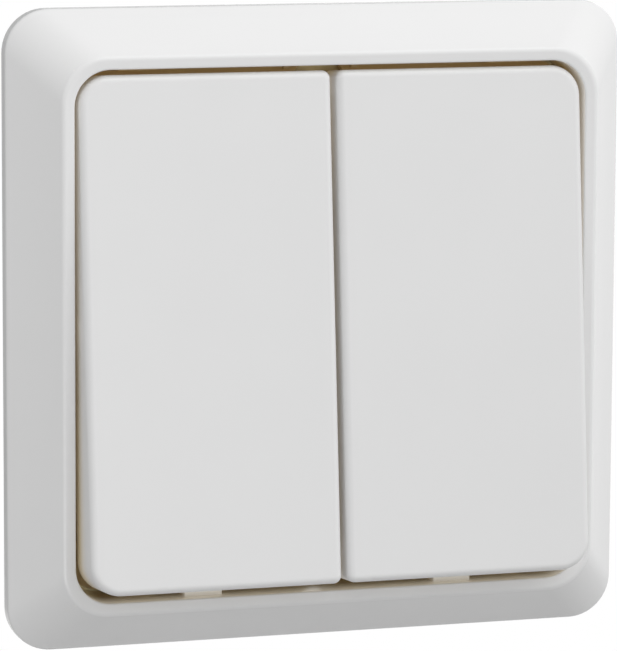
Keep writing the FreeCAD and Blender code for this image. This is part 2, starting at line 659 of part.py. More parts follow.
# Support ring: the sheet-steel plate that the box screws hold against the wall
def make_support_ring():
    body = doc.addObject("PartDesign::Body", "RingSheet")
    outline = centred_outline(body, "RingOutline", "0", "ring_size", "ring_size", "ring_corner")
    pad(body, "RingPad", outline, "ring_thickness")
    window = centred_outline(
        body, "RingWindow", "ring_thickness", "ring_window_width", "ring_window_height",
        "ring_window_corner",
    )
    pocket(body, "RingHole", window, "ring_thickness")
    doc.recompute()
    pieces, cuts = [body], []
    y = ("-ring_thickness - 1", "1")
    for side in (-1, 1):
        name = "Left" if side < 0 else "Right"
        x = across(side, "ring_size / 2 - ring_thickness", "ring_size / 2")
        z = ("-ring_tab_length / 2", "ring_tab_length / 2")
        pieces.append(block(f"RingTab{name}", x, ("-(ring_thickness + ring_tab_height)", "0"), z))
        spot = signed(side, "screw_spacing / 2")
        cuts.append(rod_along_y(f"RingScrewHole{name}", "screw_hole", "0", spot, *y))
        x = across(side, "screw_spacing / 2 - screw_hole", "screw_spacing / 2 + screw_hole")
        run = "(side_slot_length / 2 - screw_hole)"
        cuts.append(block(f"SideSlot{name}", x, y, (f"-{run}", run)))
        for end in (-1, 1):
            word = name + ("Low" if end < 0 else "High")
            tip = signed(end, run)
            cuts.append(rod_along_y(f"SlotEnd{word}", "screw_hole", spot, tip, *y))
            hole = "fixing_radius + running_gap"
            place = (signed(side, "boss_x"), signed(end, "boss_z"))
            cuts.append(rod_along_y(f"RingFixingHole{word}", hole, *place, *y))
    node("support_ring", carve("SupportRing", join("RingWithTabs", pieces), cuts))


def cover_stretches(middle, margin):
    """How far a terminal's cover reaches along X and Z, with this margin round its openings."""
    half = f"(entry_pitch / 2 + entry_radius + {margin})"
    x = (f"{middle} - {half}", f"{middle} + {half}")
    low = f"entry_z - entry_radius - ({margin})"
    return x, (low, f"release_z + release_height / 2 + release_gap + {margin}")


# Switch body: the moulded box that goes into the wall, with the contacts inside
def make_insert_base():
    body = doc.addObject("PartDesign::Body", "BaseShell")
    outline = centred_outline(body, "BaseOutline", "0", "base_width", "base_height", "base_corner")
    solid = pad(body, "BasePad", outline, "base_depth", backwards=True)
    doc.recompute()
    rim = edges_at_depth(solid.Shape, -number("base_depth"))
    fillet(body, "BaseRounding", solid, rim, "base_round")
    grown = [f"{size} + 2 * base_flange" for size in ("base_width", "base_height")]
    flange = centred_outline(body, "FlangeOutline", "0", *grown, "base_corner + base_flange")
    pad(body, "FlangePad", flange, "base_flange_depth", backwards=True)
    inside = centred_outline(
        body, "BaseInside", "0", "base_width - 2 * base_wall", "base_height - 2 * base_wall",
        "base_corner - base_wall",
    )
    pocket(body, "BaseHollow", inside, "floor_y")
    doc.recompute()
    pieces, cuts = [body], []
    floor = "floor_y + base_wall / 2"
    for side in (-1, 1):
        name = "Left" if side < 0 else "Right"
        for end in (-1, 1):
            word = name + ("Low" if end < 0 else "High")
            place = (signed(side, "boss_x"), signed(end, "boss_z"))
            pieces.append(rod_along_y(f"Boss{word}", "boss_radius", *place, "0", floor))
            depth = "fixing_length + base_wall / 2"
            hole = "fixing_radius + running_gap"
            cuts.append(rod_along_y(f"BossBore{word}", hole, *place, "-1", depth))
        place = (signed(side, "plunger_x"), "-plunger_arm")
        pieces.append(rod_along_y(f"SpringPost{name}", "spring_post_radius", *place, "post_y", floor))
        pieces.append(
            rod_along_y(f"Spigot{name}", "stem_radius", *place, "post_y - spigot_length", floor)
        )
        x = across(side, "outer_contact_x - rib_width / 2", "outer_contact_x + rib_width / 2")
        z = ("-strip_foot", "shelf_bottom")
        pieces.append(block(f"StripRib{name}", x, ("strip_y + strip_thickness", floor), z))
    z = ("-strip_foot", "shelf_bottom")
    x = ("-rib_width / 2", "rib_width / 2")
    pieces.append(block("StripRibMiddle", x, ("strip_y + strip_thickness", floor), z))
    for word, place in (("Left", "-terminal_x"), ("Middle", "0"), ("Right", "terminal_x")):
        # A shelf under each terminal, and a window with a ledge for the terminal's cover
        x = (f"{place} - terminal_width / 2", f"{place} + terminal_width / 2")
        z = ("shelf_bottom - base_wall", "shelf_bottom")
        pieces.append(block(f"Shelf{word}", x, ("strip_y + strip_thickness", floor), z))
        x, z = cover_stretches(place, "cover_margin - cover_ledge")
        cuts.append(block(f"CoverWindow{word}", x, ("floor_y - 1", "base_depth"), z))
        x, z = cover_stretches(place, "cover_margin + running_gap")
        cuts.append(block(f"CoverSeat{word}", x, ("cover_y", "base_depth + 1"), z))
    z = ("-gauge_z - gauge_width / 2", "-gauge_z + gauge_width / 2")
    y = ("base_depth - gauge_depth", "base_depth + 1")
    cuts.append(block("Gauge", ("-gauge_length / 2", "gauge_length / 2"), y, z))
    node("insert_base", carve("InsertBase", join("BaseWithRibs", pieces), cuts))


# Terminal covers: plates let into the body's back, with the wire entries and a window each
def make_terminal_cover(name, middle):
    x, z = cover_stretches(middle, "cover_margin")
    plate = block(f"CoverPlate{name}", x, ("cover_y", "base_depth"), z)
    cuts = []
    for step in (-1, 1):
        spot = f"{middle} + ({step}) * entry_pitch / 2"
        word = name + ("Left" if step < 0 else "Right")
        y = ("cover_y - 1", "base_depth + 1")
        cuts.append(rod_along_y(f"Entry{word}", "entry_radius", spot, "entry_z", *y))
        funnel = doc.addObject("Part::Cone", f"Funnel{word}")
        funnel.Placement.Rotation = FreeCAD.Rotation(FreeCAD.Vector(1, 0, 0), -90)
        bind(funnel, "Radius1", "entry_radius")
        bind(funnel, "Radius2", "entry_radius + funnel_depth / 3")
        bind(funnel, "Height", "funnel_depth")
        bind(funnel, "Placement.Base.x", spot)
        bind(funnel, "Placement.Base.y", "base_depth - funnel_depth")
        bind(funnel, "Placement.Base.z", "entry_z")
        cuts.append(funnel)
    half = "(release_width / 2 + release_gap)"
    x = (f"{middle} - {half}", f"{middle} + {half}")
    rise = "(release_height / 2 + release_gap)"
    z = (f"release_z - {rise}", f"release_z + {rise}")
    cuts.append(block(f"ReleaseWindow{name}", x, y, z))
    node(f"terminal_cover_{name.lower()}", carve(f"TerminalCover{name}", plate, cuts))


# Plungers, contact bridges and their return springs
def make_plunger(side, name):
    place = (signed(side, "plunger_x"), "-plunger_arm")
    end = "bridge_y + bridge_thickness + stem_length"
    head = "-(nose_tip - nose_gap)"
    pieces = [
        rod_along_y(f"Shank{name}", "plunger_radius", *place, head, "bridge_y"),
        rod_along_y(f"Flange{name}", "plunger_flange", *place, "flange_y", "bridge_y"),
        rod_along_y(f"Stem{name}", "stem_radius", *place, "flange_y", end),
    ]
    node(f"plunger_{name.lower()}", join(f"Plunger{name}", pieces))

    middle = signed(side, "plunger_x")
    x = (f"{middle} - bridge_length / 2", f"{middle} + bridge_length / 2")
    z = ("-plunger_arm - bridge_height / 2", "-plunger_arm + bridge_height / 2")
    pieces = [block(f"BridgeStrip{name}", x, ("bridge_y", "spring_y"), z)]
    for step in (-1, 1):
        word = name + ("Left" if step < 0 else "Right")
        spot = f"{middle} + ({step}) * contact_spread"
        tip = "spring_y + contact_height"
        pieces.append(
            rod_along_y(f"BridgeContact{word}", "contact_radius", spot, "-plunger_arm", "bridge_y", tip)
        )
    eye = "stem_radius + running_gap"
    hole = rod_along_y(f"BridgeHole{name}", eye, *place, "bridge_y - 1", "spring_y + 1")
    bridge = carve(f"Bridge{name}", join(f"BridgeWhole{name}", pieces), [hole])
    node(f"contact_bridge_{name.lower()}", bridge)


def make_return_spring(side, name):
    """A coil of round wire along Y, between the contact bridge and its post."""
    wire = number("spring_wire")
    rise = number("spring_length - spring_wire")
    radius = number("spring_radius")
    path = Part.makeHelix(rise / number("spring_turns"), rise, radius)
    circle = Part.Circle(FreeCAD.Vector(radius, 0, 0), FreeCAD.Vector(0, 1, 0), wire / 2)
    quarter = number("pi / 2")
    arcs = [Part.Arc(circle, turn * quarter, (turn + 1) * quarter).toShape() for turn in range(4)]
    coil = doc.addObject("Part::Feature", f"Spring{name}")
    coil.Shape = Part.Wire(path.Edges).makePipeShell([Part.Wire(arcs)], True, True)
    turn = FreeCAD.Rotation(FreeCAD.Vector(1, 0, 0), -90)
    spot = FreeCAD.Vector(
        number(signed(side, "plunger_x")), number("spring_y") + wire / 2, number("-plunger_arm")
    )
    coil.Placement = FreeCAD.Placement(spot, turn)
    node(f"return_spring_{name.lower()}", coil)


# Terminals: brass strips with a fixed contact below and a cage for the wires above
def make_terminal(name, middle, contacts, strip):
    """A strip between the formulas of strip, with contacts at these places along X."""
    sheet_y = ("strip_y", "strip_y + strip_thickness")
    cage = (f"{middle} - terminal_width / 2", f"{middle} + terminal_width / 2")
    pieces = [
        block(f"Strip{name}", strip, sheet_y, ("-strip_foot", "shelf_top")),
        block(f"CageFront{name}", cage, sheet_y, ("shelf_bottom", "strip_top")),
        block(f"CageShelf{name}", cage, ("strip_y", "shelf_back"), ("shelf_bottom", "shelf_top")),
        block(
            f"CageRoof{name}", cage, ("strip_y", "cage_back"),
            ("strip_top - strip_thickness", "strip_top"),
        ),
    ]
    for step, place in enumerate(contacts):
        pad_x = (f"{place} - strip_width / 2", f"{place} + strip_width / 2")
        foot = ("-strip_foot", "-strip_foot + bridge_height")
        pieces.append(block(f"ContactPad{name}{step}", pad_x, sheet_y, foot))
        pieces.append(
            rod_along_y(
                f"FixedContact{name}{step}", "contact_radius", place, "-plunger_arm",
                "strip_y - contact_height", "strip_y + strip_thickness / 2",
            )
        )
    if len(contacts) > 1:
        z = ("-strip_foot", "-strip_foot + bridge_height")
        pieces.append(block(f"CrossStrip{name}", tuple(contacts), sheet_y, z))
    node(f"terminal_{name.lower()}", join(f"Terminal{name}", pieces))


def make_clamp_spring(name, middle):
    """A leaf folded from sheet: up the cage's front, along its roof and down to the wire."""
    thick = number("leaf_thickness")
    front = number("strip_y + strip_thickness + leaf_thickness / 2")
    roof = number("leaf_roof")
    foot = number("leaf_foot")
    left = number(f"{middle} - leaf_width / 2")
    route = [
        FreeCAD.Vector(left, front, foot),
        FreeCAD.Vector(left, front, roof),
        FreeCAD.Vector(left, number("leaf_bend_y"), roof),
        FreeCAD.Vector(left, number("leaf_tip_y"), foot),
    ]
    ways = [(after - before).normalize() for before, after in zip(route, route[1:])]
    edge = []
    for turn, point in enumerate(route):
        before = ways[max(turn - 1, 0)]
        after = ways[min(turn, len(ways) - 1)]
        # The mitre at a fold leans halfway between the two runs
        normals = [FreeCAD.Vector(0, -way.z, way.y) for way in (before, after)]
        mitre = normals[0] + normals[1]
        edge.append(mitre * (thick / mitre.dot(normals[0]) / 2))
    outline = [p + e for p, e in zip(route, edge)]
    outline += [p - e for p, e in reversed(list(zip(route, edge)))]
    face = Part.Face(Part.makePolygon(outline + [outline[0]]))
    leaf = doc.addObject("Part::Feature", f"Leaf{name}")
    leaf.Shape = face.extrude(FreeCAD.Vector(number("leaf_width"), 0, 0))
    node(f"clamp_spring_{name.lower()}", leaf)


def make_release_button(name, middle):
    x = (f"{middle} - release_width / 2", f"{middle} + release_width / 2")
    z = ("release_z - release_height / 2", "release_z + release_height / 2")
    y = ("release_start", "base_depth + release_proud")
    collar_x = (x[0] + " - collar_reach", x[1] + " + collar_reach")
    collar_y = ("cover_y - end_gap - collar_depth", "cover_y - end_gap")
    pieces = [block(f"Release{name}", x, y, z), block(f"Collar{name}", collar_x, collar_y, z)]
    node(f"release_button_{name.lower()}", join(f"ReleaseButton{name}", pieces))


# Fixing screws: hold plate, ring and switch body together
def make_fixing_screws():
    screws = []
    front = "-(plate_front + fixing_head_depth)"
    for side in (-1, 1):
        for end in (-1, 1):
            name = ("Left" if side < 0 else "Right") + ("Low" if end < 0 else "High")
            x, z = signed(side, "boss_x"), signed(end, "boss_z")
            head = rod_along_y(f"ScrewHead{name}", "fixing_head", x, z, front, "-plate_front")
            tip = "fixing_length - plate_front"
            shank = rod_along_y(f"ScrewShank{name}", "fixing_radius", x, z, "-plate_front", tip)
            y = (front + " - 1", front + " + recess_depth")
            long = "recess_length / 2"
            thin = "recess_width / 2"
            cross = [
                block(f"Recess{name}Flat", (f"{x} - {long}", f"{x} + {long}"), y,
                      (f"{z} - {thin}", f"{z} + {thin}")),
                block(f"Recess{name}Upright", (f"{x} - {thin}", f"{x} + {thin}"), y,
                      (f"{z} - {long}", f"{z} + {long}")),
            ]
            screws.append(carve(f"Screw{name}", join(f"ScrewWhole{name}", [head, shank]), cross))
    group = doc.addObject("Part::Compound", "FixingScrews")
    group.Links = screws
    node("fixing_screws", group)


make_cover_frame()
make_bearing_plate()
make_support_ring()
make_insert_base()
for side, name in ((-1, "Left"), (1, "Right")):
    make_rocker(side, name)
    make_actuator(side, name)
    make_plunger(side, name)
    make_return_spring(side, name)
make_terminal(
    "Common", "0", ["-inner_contact_x", "inner_contact_x"], ("-strip_width / 2", "strip_width / 2")
)
for side, name in ((-1, "Left"), (1, "Right")):
    place = signed(side, "outer_contact_x")
    strip = (f"{place} - strip_width / 2", f"{place} + strip_width / 2")
    make_terminal(name, signed(side, "terminal_x"), [place], strip)
for name, middle in (("Left", "-terminal_x"), ("Common", "0"), ("Right", "terminal_x")):
    make_clamp_spring(name, middle)
    make_terminal_cover(name, middle)
    make_release_button(name, middle)
make_fixing_screws()
doc.recompute()

# Every feature has to be sound before anything is written
for thing in doc.Objects:
    if "Invalid" in thing.State or "Error" in thing.State:
        raise RuntimeError(f"{thing.Name} failed: {thing.State}")
for piece in nodes:
    if piece.Shape.isNull() or not piece.Shape.isValid():
        raise RuntimeError(f"{piece.Label} has no sound shape")

os.makedirs("parts", exist_ok=True)
for piece in nodes:
    piece.Shape.exportStep(f"parts/{piece.Label}.step")
    print(f"{piece.Label}: {len(piece.Shape.Solids)} solids, {piece.Shape.Volume:.1f} mm3")
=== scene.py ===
# %% [markdown]
# # A two-gang push button switch in white plastic
#
# The switch is a square cover frame with steep, slightly hollow slopes, and two tall buttons side
# by side that lean a little, because a spring holds their lower ends out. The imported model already
# holds every piece at its place and size. This file dresses it: the frame and the buttons, which
# the eye rests on, are modelled again with fine roundings, and the pieces behind them get finishes.
#
# X runs to the right, Z up and Y into the wall. Lengths in Blender are metres, and sizes here are
# written in millimetres times MM.

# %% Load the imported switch
import json
import math
import bmesh
import bpy
from mathutils import Euler, Matrix, Vector


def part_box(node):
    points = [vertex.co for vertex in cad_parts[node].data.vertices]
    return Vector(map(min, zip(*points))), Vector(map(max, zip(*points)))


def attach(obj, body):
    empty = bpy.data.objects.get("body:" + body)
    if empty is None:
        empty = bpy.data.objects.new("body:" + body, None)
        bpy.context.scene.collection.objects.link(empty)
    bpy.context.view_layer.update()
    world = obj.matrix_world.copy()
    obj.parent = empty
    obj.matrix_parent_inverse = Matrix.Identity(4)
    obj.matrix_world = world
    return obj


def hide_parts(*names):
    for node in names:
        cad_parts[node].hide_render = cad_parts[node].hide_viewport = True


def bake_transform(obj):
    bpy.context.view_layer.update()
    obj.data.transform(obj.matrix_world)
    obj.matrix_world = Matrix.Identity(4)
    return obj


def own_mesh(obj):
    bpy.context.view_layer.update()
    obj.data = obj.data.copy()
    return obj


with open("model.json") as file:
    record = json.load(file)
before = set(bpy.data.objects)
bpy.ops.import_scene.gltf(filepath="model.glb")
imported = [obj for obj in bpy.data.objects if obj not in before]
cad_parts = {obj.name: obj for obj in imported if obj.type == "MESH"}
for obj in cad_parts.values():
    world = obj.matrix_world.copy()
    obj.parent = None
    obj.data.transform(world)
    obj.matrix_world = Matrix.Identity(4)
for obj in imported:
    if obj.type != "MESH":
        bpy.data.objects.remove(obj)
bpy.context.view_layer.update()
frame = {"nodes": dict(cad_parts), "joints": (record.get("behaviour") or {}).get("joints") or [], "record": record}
MM = 0.001

# %% [markdown]
# ## The camera
#
# A long lens a little over half a metre away, to the left of the switch and above it. Its place and
# angles follow from the edges of the frame, which is 80 mm square. Turn swings the view to the
# right, dip tips it down and roll turns it about its own axis. The picture is taller than wide, so
# its height fills the sensor.

# %% Set up the camera
CAMERA_PLACE = Vector((-156.246, -501.433, 78.055)) * MM
CAMERA_TURN = math.radians(17.26)
CAMERA_DIP = math.radians(8.53)
CAMERA_ROLL = math.radians(0.3)
FOCAL_PIXELS = 4205.28
PICTURE_HEIGHT = 651
SENSOR = 36.0

lens = bpy.data.cameras.new("camera")
lens.sensor_width = SENSOR
lens.lens = FOCAL_PIXELS * SENSOR / PICTURE_HEIGHT
lens.clip_start = 10 * MM
lens.clip_end = 20000 * MM
camera = bpy.data.objects.new("camera", lens)
bpy.context.scene.collection.objects.link(camera)
aim = Euler((math.pi / 2 - CAMERA_DIP, 0, -CAMERA_TURN)).to_matrix()
aim = aim @ Matrix.Rotation(CAMERA_ROLL, 3, "Z")
camera.matrix_world = Matrix.Translation(CAMERA_PLACE) @ aim.to_4x4()
bpy.context.scene.camera = camera
print("lens in mm:", round(lens.lens, 2))

# %% [markdown]
# ## Rings
#
# The frame and the buttons are moulded shells whose outline is a rectangle with round corners at
# every depth. A cube with a Bevel modifier can't give them, because the corner's radius changes
# from the foot to the crest, and each button has two small and two large corners. So a shell is
# built as a row of rings. A ring is a plane whose corner vertices are bevelled in edit mode.

# %% Draw a ring
CORNER_STEPS = 14
NEAR = 1e-6


def only(thing):
    """Select this object alone and make it the active one."""
    bpy.ops.object.select_all(action="DESELECT")
    thing.select_set(True)
    bpy.context.view_layer.objects.active = thing


def start_shell(name):
    """An empty mesh object, open in edit mode."""
    shell = bpy.data.objects.new(name, bpy.data.meshes.new(name))
    bpy.context.scene.collection.objects.link(shell)
    only(shell)
    bpy.ops.object.mode_set(mode="EDIT")
    bpy.ops.mesh.select_mode(type="VERT")
    return shell


def pick(shell, wanted):
    """Select the visible vertices whose place passes a test."""
    mesh = bmesh.from_edit_mesh(shell.data)
    for vertex in mesh.verts:
        vertex.select_set(not vertex.hide and wanted(vertex.co))
    mesh.select_flush_mode()
    bmesh.update_edit_mesh(shell.data)


def add_ring(shell, x, z, depth, radii, lean=0.0):
    """A rounded rectangle facing the viewer, with the radii of its left and its right corners."""
    middle = ((x[0] + x[1]) / 2, -depth, (z[0] + z[1]) / 2)
    length = (z[1] - z[0]) / math.cos(lean)
    bpy.ops.mesh.primitive_plane_add(size=1, location=middle, rotation=(math.pi / 2 + lean, 0, 0))
    bpy.ops.transform.resize(value=(x[1] - x[0], length, length), center_override=middle)
    for edge, radius in zip(x, radii):
        pick(shell, lambda p: abs(p.x - edge) < NEAR and min(abs(p.z - end) for end in z) < NEAR)
        bpy.ops.mesh.bevel(
            affect="VERTICES", offset=radius, segments=CORNER_STEPS, profile=0.5, clamp_overlap=False
        )


# %% [markdown]
# ## Bands
#
# Two rings that are bridged make one band of the wall. Bands that are done are hidden in edit mode,
# where no selection reaches them, and at the end all bands are merged where they meet. Only the
# bends that turn sharply stay sharp in the shading.

# %% Bridge two rings
MERGE_REACH = 1e-7
SHARP_BEND = math.radians(35)


def hide_all():
    """Put away what is drawn so far."""
    bpy.ops.mesh.select_all(action="SELECT")
    bpy.ops.mesh.hide()


def add_band(shell, first, second):
    """The strip of wall between two rings, each given as what add_ring takes."""
    hide_all()
    add_ring(shell, *first)
    add_ring(shell, *second)
    bpy.ops.mesh.select_all(action="SELECT")
    bpy.ops.mesh.delete(type="ONLY_FACE")
    bpy.ops.mesh.select_all(action="SELECT")
    bpy.ops.mesh.bridge_edge_loops()


def add_cap(shell, ring):
    """The flat face inside a ring."""
    hide_all()
    add_ring(shell, *ring)


def shade(thing):
    """Shade the roundings smooth and leave sharp bends sharp."""
    only(thing)
    bpy.ops.object.shade_smooth_by_angle(angle=SHARP_BEND)


def finish_shell(shell):
    """Merge the bands and turn every face outwards."""
    bpy.ops.mesh.reveal(select=True)
    bpy.ops.mesh.select_all(action="SELECT")
    bpy.ops.mesh.remove_doubles(threshold=MERGE_REACH)
    bpy.ops.mesh.normals_make_consistent(inside=False)
    bpy.ops.object.mode_set(mode="OBJECT")
    shade(shell)
    print(f"{shell.name}: {len(shell.data.vertices)} vertices, {len(shell.data.polygons)} faces")


# %% [markdown]
# ## Small solids
#
# Lugs, clips and ribs are cuboids with softened edges. Each is a cube stretched between two places
# each way and bevelled in edit mode. A Boolean modifier then joins it to its shell or cuts it out,
# which is hard to do cleanly by hand on a wall that is already curved.

# %% Add a block, and combine solids
BLOCK_STEPS = 2


def mirrored(stretch, side):
    """A stretch along an axis, turned over to the left or the lower side for a side of -1."""
    low, high = stretch
    return (low, high) if side > 0 else (-high, -low)


def add_block(name, x, y, z, bevel=0.0):
    """A cuboid between two places each way, its edges rounded."""
    bpy.ops.object.select_all(action="DESELECT")
    bpy.ops.mesh.primitive_cube_add(
        size=1,
        location=[(low + high) / 2 for low, high in (x, y, z)],
        scale=[high - low for low, high in (x, y, z)],
    )
    block = bpy.context.object
    block.name = name
    bpy.ops.object.transform_apply(location=True, rotation=True, scale=True)
    if bevel:
        bpy.ops.object.mode_set(mode="EDIT")
        bpy.ops.mesh.select_all(action="SELECT")
        bpy.ops.mesh.bevel(offset=bevel, segments=BLOCK_STEPS, profile=0.5)
        bpy.ops.object.mode_set(mode="OBJECT")
    return block


def combine(whole, others, operation):
    """Join the other solids to the whole, or cut them out of it, and delete them."""
    for other in others:
        only(whole)
        step = whole.modifiers.new("combine", "BOOLEAN")
        step.operation = operation
        step.solver = "EXACT"
        step.object = other
        bpy.ops.object.modifier_apply(modifier=step.name)
        bpy.data.objects.remove(other)
    print(f"{whole.name}: {operation.lower()} with {len(others)} blocks")


# %% [markdown]
# ## The profile of the cover frame
#
# Cut across, the frame is a thin wall that stands up 2 mm at the foot, leans in over a slightly
# hollow slope, turns over a soft crest and runs nearly flat over a lip into the opening. Behind it
# a wall goes back to the steel ring, and the space under the slope is hollow. The profile is a list
# of points (half the width, height above the wall, corner radius), and each bend becomes an arc.

# %% Name the frame's sizes
HALF_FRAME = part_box("cover_frame")[1].x
EDGE_HEIGHT = 2.0 * MM
CREST_INSET = 5.5 * MM
CREST_HEIGHT = 9.25 * MM
SLOPE_SAG = 0.22 * MM
LIP_WIDTH = 1.5 * MM
LIP_DROP = 0.15 * MM
SHELL_WALL = 1.6 * MM
OPENING_WALL = 1.5 * MM
RIM_HEIGHT = 6.31 * MM
HOLLOW_BEND_HEIGHT = 1.2 * MM
RING_SHEET = 1.0 * MM
FRAME_CORNER = 5.5 * MM
CREST_CORNER = 5.8 * MM
OPENING_CORNER = 4.5 * MM
FOOT_ROUND = 0.12 * MM
EDGE_ROUND = 0.65 * MM
CREST_ROUND = 0.7 * MM
LIP_ROUND = 0.25 * MM
HALF_OPENING = HALF_FRAME - CREST_INSET - LIP_WIDTH
print("opening in mm:", round(2 * HALF_OPENING / MM, 2))

# %% Round a bend
HOLD = 0.12 * MM


def rounding(before, corner, after, radius, steps=8):
    """The points round one bend of a profile, with one more a little way along each line."""
    ways = [(point - corner) / (point.xy - corner.xy).length for point in (before, after)]
    half_angle = ways[0].xy.angle(ways[1].xy) / 2
    reach = radius / math.tan(half_angle)
    start, end = (corner + way * reach for way in ways)
    centre = corner.xy + (ways[0].xy + ways[1].xy).normalized() * (radius / math.sin(half_angle))
    sweep = (start.xy - centre).angle_signed(end.xy - centre)
    points = [start + ways[0] * HOLD]
    for step in range(steps + 1):
        share = step / steps
        spot = centre + Matrix.Rotation(-sweep * share, 2) @ (start.xy - centre)
        points.append(Vector((*spot, start.z + (end.z - start.z) * share)))
    return points + [end + ways[1] * HOLD]


# %% Work out the profile
SLOPE_STEPS = 12
FINE_STEPS = 100


def slope_point(share):
    """A point of the hollow slope, from 0 at its foot to 1 at the crest."""
    sag = 4 * SLOPE_SAG * share * (1 - share)
    return Vector((
        HALF_FRAME - CREST_INSET * share - sag,
        EDGE_HEIGHT + (CREST_HEIGHT - EDGE_HEIGHT) * share,
        FRAME_CORNER + (CREST_CORNER - FRAME_CORNER) * share,
    ))


foot = Vector((HALF_FRAME, 0, FRAME_CORNER))
edge, crest = slope_point(0), slope_point(1)
past_edge = edge + (slope_point(1 / FINE_STEPS) - edge) * FINE_STEPS
before_crest = crest + (slope_point(1 - 1 / FINE_STEPS) - crest) * FINE_STEPS
lip = Vector((HALF_OPENING, CREST_HEIGHT - LIP_DROP, OPENING_CORNER))
wall_end = Vector((HALF_OPENING, RING_SHEET, OPENING_CORNER))
rim_end = Vector((HALF_OPENING + OPENING_WALL, RING_SHEET, OPENING_CORNER + OPENING_WALL))
rim_top = Vector((rim_end.x, RIM_HEIGHT, rim_end.z))
hollow_bend = Vector((HALF_FRAME - SHELL_WALL, HOLLOW_BEND_HEIGHT, FRAME_CORNER - SHELL_WALL))
hollow_foot = Vector((hollow_bend.x, 0, hollow_bend.z))

profile = rounding(hollow_foot, foot, edge, FOOT_ROUND, steps=3)
profile += rounding(foot, edge, past_edge, EDGE_ROUND)
profile += [slope_point(step / SLOPE_STEPS) for step in range(2, SLOPE_STEPS - 1)]
profile += rounding(before_crest, crest, lip, CREST_ROUND, steps=12)
profile += rounding(crest, lip, wall_end, LIP_ROUND, steps=6)
profile += [wall_end, rim_end, rim_top, hollow_bend, hollow_foot]
print("points in the profile:", len(profile))

# %% [markdown]
# ## The cover frame
#
# Each point of the profile gives one ring, and the last ring is bridged to the first, so the shell
# is closed. Small lugs under and beside the buttons are moulded onto its wall, and so are two stops
# that lie on the bearing plate above them. The wall has grooves and windows above and below, where
# that plate's tongues snap in and hold the frame.

# %% Model the shell


def frame_ring(point):
    """The ring at one point of the profile."""
    half, height, corner = point
    return (-half, half), (-half, half), height, (corner, corner)


cover = start_shell("cover_frame_white")
for first, second in zip(profile, profile[1:] + profile[:1]):
    add_band(cover, frame_ring(first), frame_ring(second))
finish_shell(cover)

# %% Join the lugs and the stops
LUG_ROOT = HALF_OPENING + 0.75 * MM
LUG_DEPTHS = (-7.6 * MM, -3.2 * MM)
LOWER_LUG = (13.9 * MM, 18.8 * MM)
LOWER_LUG_REACH = 0.7 * MM
SIDE_LUG = (-0.3 * MM, 2.5 * MM)
SIDE_LUG_REACH = 0.26 * MM
STOP = (4.025 * MM, 4.775 * MM)
STOP_REACH = 0.9 * MM
STOP_SHEET = 1.0 * MM
PLATE_FRONT = 2.2 * MM
STOP_DEPTHS = (-PLATE_FRONT - STOP_SHEET, -PLATE_FRONT)
LUG_BEVEL = 0.15 * MM
FINE_BEVEL = 0.1 * MM

lugs = []
for side in (-1, 1):
    x = mirrored(LOWER_LUG, side)
    lugs.append(add_block("lug", x, LUG_DEPTHS, (-LUG_ROOT, LOWER_LUG_REACH - HALF_OPENING), LUG_BEVEL))
    x = mirrored((HALF_OPENING - SIDE_LUG_REACH, LUG_ROOT), side)
    lugs.append(add_block("lug", x, LUG_DEPTHS, SIDE_LUG, FINE_BEVEL))
    x = mirrored(STOP, side)
    lugs.append(add_block("stop", x, STOP_DEPTHS, (HALF_OPENING - STOP_REACH, LUG_ROOT), FINE_BEVEL))
combine(cover, lugs, "UNION")

# %% Cut the grooves and the windows
TONGUE = (21.2 * MM, 26.8 * MM)
GROOVE = (32.7 * MM, 33.75 * MM)
GROOVE_DEPTHS = (-3.4 * MM, -0.7 * MM)
WINDOW = (32.7 * MM, 34.8 * MM)
WINDOW_DEPTHS = (-5.2 * MM, -3.3 * MM)

cutters = []
for side in (-1, 1):
    for end in (-1, 1):
        x = mirrored(TONGUE, side)
        cutters.append(add_block("groove", x, GROOVE_DEPTHS, mirrored(GROOVE, end)))
        cutters.append(add_block("window", x, WINDOW_DEPTHS, mirrored(WINDOW, end)))
combine(cover, cutters, "DIFFERENCE")
shade(cover)
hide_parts("cover_frame")
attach(cover, "housing")

# %% [markdown]
# ## The buttons
#
# A button is a flat-faced shell, 32.0 mm wide and 63.6 mm tall, that turns about an axle behind its
# middle. Its face is rounded over 0.9 mm, its outer corners follow the frame's opening and its inner
# ones are nearly square. The skirt's back edge slants, deeper at the lower end. Behind the face are
# two clips with hooks that grip the actuator, and two ribs that seat on it. The button is drawn
# upright about its hinge axis and then leaned by its rest angle, which is how it waits in the wall.

# %% Name the buttons' sizes
BUTTON_GAP = 0.8 * MM
BUTTON_WIDTH = 32.0 * MM
HALF_BUTTON = 31.8 * MM
BUTTON_RISE = 0.15 * MM
FACE_OFFSET = 5.85 * MM
FACE_WALL = 1.8 * MM
BUTTON_WALL = 1.6 * MM
BUTTON_ROUND = 0.9 * MM
ROUND_STEPS = 10
OUTER_CORNER = 3.8 * MM
INNER_CORNER = 1.0 * MM
SMALLEST = 0.06 * MM
INSIDE_SMALLEST = 0.4 * MM
SKIRT_TOP = 0.3 * MM
SKIRT_BOTTOM = 1.4 * MM
HINGE_DEPTH = 6.0 * MM
REST_TILT = math.radians(5.5)
skirt_lean = math.atan((SKIRT_BOTTOM - SKIRT_TOP) / (2 * HALF_BUTTON))
skirt_middle = BUTTON_RISE * math.tan(skirt_lean) - (SKIRT_BOTTOM + SKIRT_TOP) / 2
print("skirt leans by", round(math.degrees(skirt_lean), 2), "degrees")

# %% Draw a button's shell


